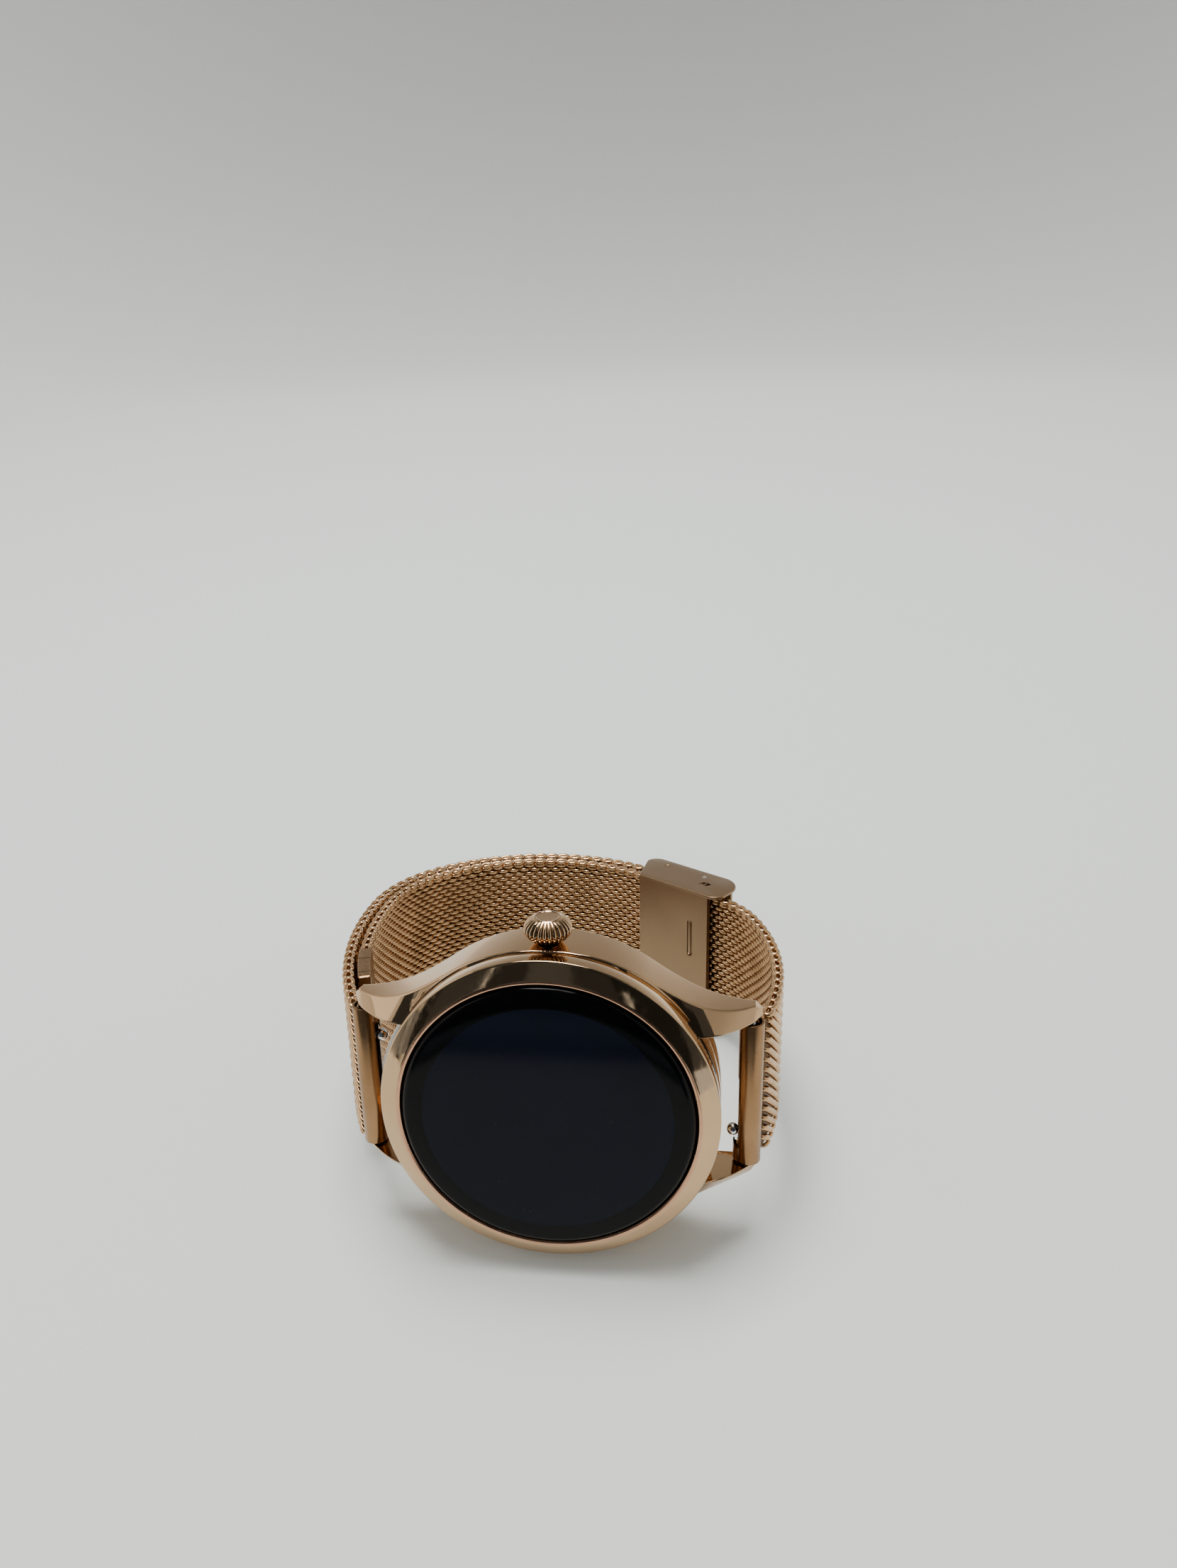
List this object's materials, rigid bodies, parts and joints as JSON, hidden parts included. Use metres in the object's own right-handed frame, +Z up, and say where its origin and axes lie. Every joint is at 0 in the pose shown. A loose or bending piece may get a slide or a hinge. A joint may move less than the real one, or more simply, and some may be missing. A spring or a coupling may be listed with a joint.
{
  "type": "smartwatch",
  "caption": "Round smartwatch with polished rose gold case, fluted push crown, black glass and a woven-mesh strap closed by a flip clasp, lying on its side.",
  "frame": {"origin": "on the table, under the middle of the watch's whole box as it lies on its side", "axes": "+Z up, the way the crown side faces, +Y from the display back to the strap's far end, +X from the left lugs to the right lugs; the watch is tipped back about X by about 12.5 degrees, as it rests"},
  "size_m": [0.0564, 0.0586, 0.0415],
  "materials": {
    "rose_gold_polished": "polished rose gold plating",
    "rose_gold_satin": "satin rose gold plating",
    "mesh_gold": "woven rose gold wire",
    "steel": "satin",
    "display_glass": "black cover glass, hardened and glossy",
    "display_black": "dark display panel",
    "circuit_green": "solder-masked board",
    "battery_silver": "pouch foil",
    "black_plastic": "moulded",
    "seal_rubber": "matte",
    "contact_gold": "gold plated"
  },
  "bodies": {
    "watch_head": {"mid_case": "rose_gold_polished", "bezel_ring": "rose_gold_polished", "cover_glass": "display_glass", "glass_gasket": "seal_rubber", "display_panel": "display_black", "inner_frame": "black_plastic", "main_board": "circuit_green", "crown_switch": "black_plastic", "battery": "battery_silver", "motor_body": "steel", "sensor_board": "circuit_green", "back_cover": "steel", "back_gasket": "seal_rubber", "sensor_window": "display_glass", "charging_contact_left": "contact_gold", "charging_contact_right": "contact_gold", "back_screw_1": "steel", "back_screw_2": "steel", "back_screw_3": "steel", "back_screw_4": "steel", "crown_tube": "rose_gold_polished"},
    "crown_button": {"crown_stem": "steel", "crown_seal": "seal_rubber", "crown_spring": "steel"},
    "crown_knob": {"crown_knob": "rose_gold_polished"},
    "motor_weight": {"motor_weight": "steel"},
    "left_strap_base": {"end_tube_left": "rose_gold_satin", "spring_bar_left": "steel", "bar_spring_left": "steel", "strap_left_1": "mesh_gold"},
    "left_lever": {"release_lever_left": "steel"},
    "left_strap_middle": {"strap_left_2": "mesh_gold"},
    "left_strap_end": {"strap_left_3": "mesh_gold", "strap_end_plate": "rose_gold_satin", "end_pin": "steel"},
    "right_strap_base": {"end_tube_right": "rose_gold_satin", "spring_bar_right": "steel", "bar_spring_right": "steel", "strap_right_1": "mesh_gold"},
    "right_lever": {"release_lever_right": "steel"},
    "clasp": {"strap_right_2": "mesh_gold", "clasp_body": "rose_gold_satin", "cover_pin": "steel"},
    "clasp_cover": {"clasp_cover": "rose_gold_satin"},
    "tail_middle": {"strap_tail_1": "mesh_gold"},
    "tail_end": {"strap_tail_2": "mesh_gold", "tail_tip": "rose_gold_satin"}
  },
  "joints": [
    {"name": "crown_press", "type": "slide", "parent": "watch_head", "child": "crown_button", "axis": [0, -0.2169, -0.9762], "range_m": [0, 0.0003], "stiffness_N_per_m": 600, "springref_m": -0.001, "deforming": ["crown_spring"]},
    {"name": "crown_turn", "type": "hinge", "parent": "crown_button", "child": "crown_knob", "pos_m": [0.00185, -0.01603, 0.03956], "axis": [0, 0.2169, 0.9762], "continuous": true},
    {"name": "motor_spin", "type": "hinge", "parent": "watch_head", "child": "motor_weight", "pos_m": [0.00535, -0.02205, 0.00832], "axis": [1, 0, 0], "continuous": true},
    {"name": "band_open", "type": "hinge", "parent": "watch_head", "child": "left_strap_base", "pos_m": [-0.02035, -0.01833, 0.01907], "axis": [0, 0.2169, 0.9762], "range_deg": [0, 60]},
    {"name": "left_bar_release", "type": "slide", "parent": "left_strap_base", "child": "left_lever", "axis": [0, -0.2169, -0.9762], "range_m": [0, 0.0013], "stiffness_N_per_m": 300, "springref_m": -0.001, "deforming": ["bar_spring_left"]},
    {"name": "left_strap_bend_1", "type": "hinge", "parent": "left_strap_base", "child": "left_strap_middle", "pos_m": [-0.02819, 0.00391, 0.01413], "axis": [0, 0.2169, 0.9762], "range_deg": [0, 21]},
    {"name": "left_strap_bend_2", "type": "hinge", "parent": "left_strap_middle", "child": "left_strap_end", "pos_m": [-0.01593, 0.0249, 0.00946], "axis": [0, 0.2169, 0.9762], "range_deg": [0, 18]},
    {"name": "right_strap_swing", "type": "hinge", "parent": "watch_head", "child": "right_strap_base", "pos_m": [0.02405, -0.01833, 0.01907], "axis": [0, 0.2169, 0.9762], "range_deg": [-27, 0]},
    {"name": "right_bar_release", "type": "slide", "parent": "right_strap_base", "child": "right_lever", "axis": [0, 0.2169, 0.9762], "range_m": [0, 0.0013], "stiffness_N_per_m": 300, "springref_m": -0.001, "deforming": ["bar_spring_right"]},
    {"name": "right_strap_bend", "type": "hinge", "parent": "right_strap_base", "child": "clasp", "pos_m": [0.02766, 0.00044, 0.0149], "axis": [0, 0.2169, 0.9762], "range_deg": [-9, 0]},
    {"name": "clasp_cover_flip", "type": "hinge", "parent": "clasp", "child": "clasp_cover", "pos_m": [0.01805, 0.01831, 0.01093], "axis": [0, 0.2169, 0.9762], "range_deg": [-108, 0]},
    {"name": "tail_bend_1", "type": "hinge", "parent": "clasp", "child": "tail_middle", "pos_m": [0.00857, 0.02192, 0.01012], "axis": [0, 0.2169, 0.9762], "range_deg": [-21, 0]},
    {"name": "tail_bend_2", "type": "hinge", "parent": "tail_middle", "child": "tail_end", "pos_m": [-0.01893, 0.02098, 0.01033], "axis": [0, 0.2169, 0.9762], "range_deg": [-21, 0]}
  ],
  "couplings": [
    {"joint": "left_strap_bend_1", "follows": "band_open", "ratio": 0.35},
    {"joint": "left_strap_bend_2", "follows": "band_open", "ratio": 0.3},
    {"joint": "right_strap_swing", "follows": "band_open", "ratio": -0.45},
    {"joint": "right_strap_bend", "follows": "band_open", "ratio": -0.15},
    {"joint": "clasp_cover_flip", "follows": "band_open", "ratio": -1.8},
    {"joint": "tail_bend_1", "follows": "band_open", "ratio": -0.35},
    {"joint": "tail_bend_2", "follows": "band_open", "ratio": -0.35}
  ]
}
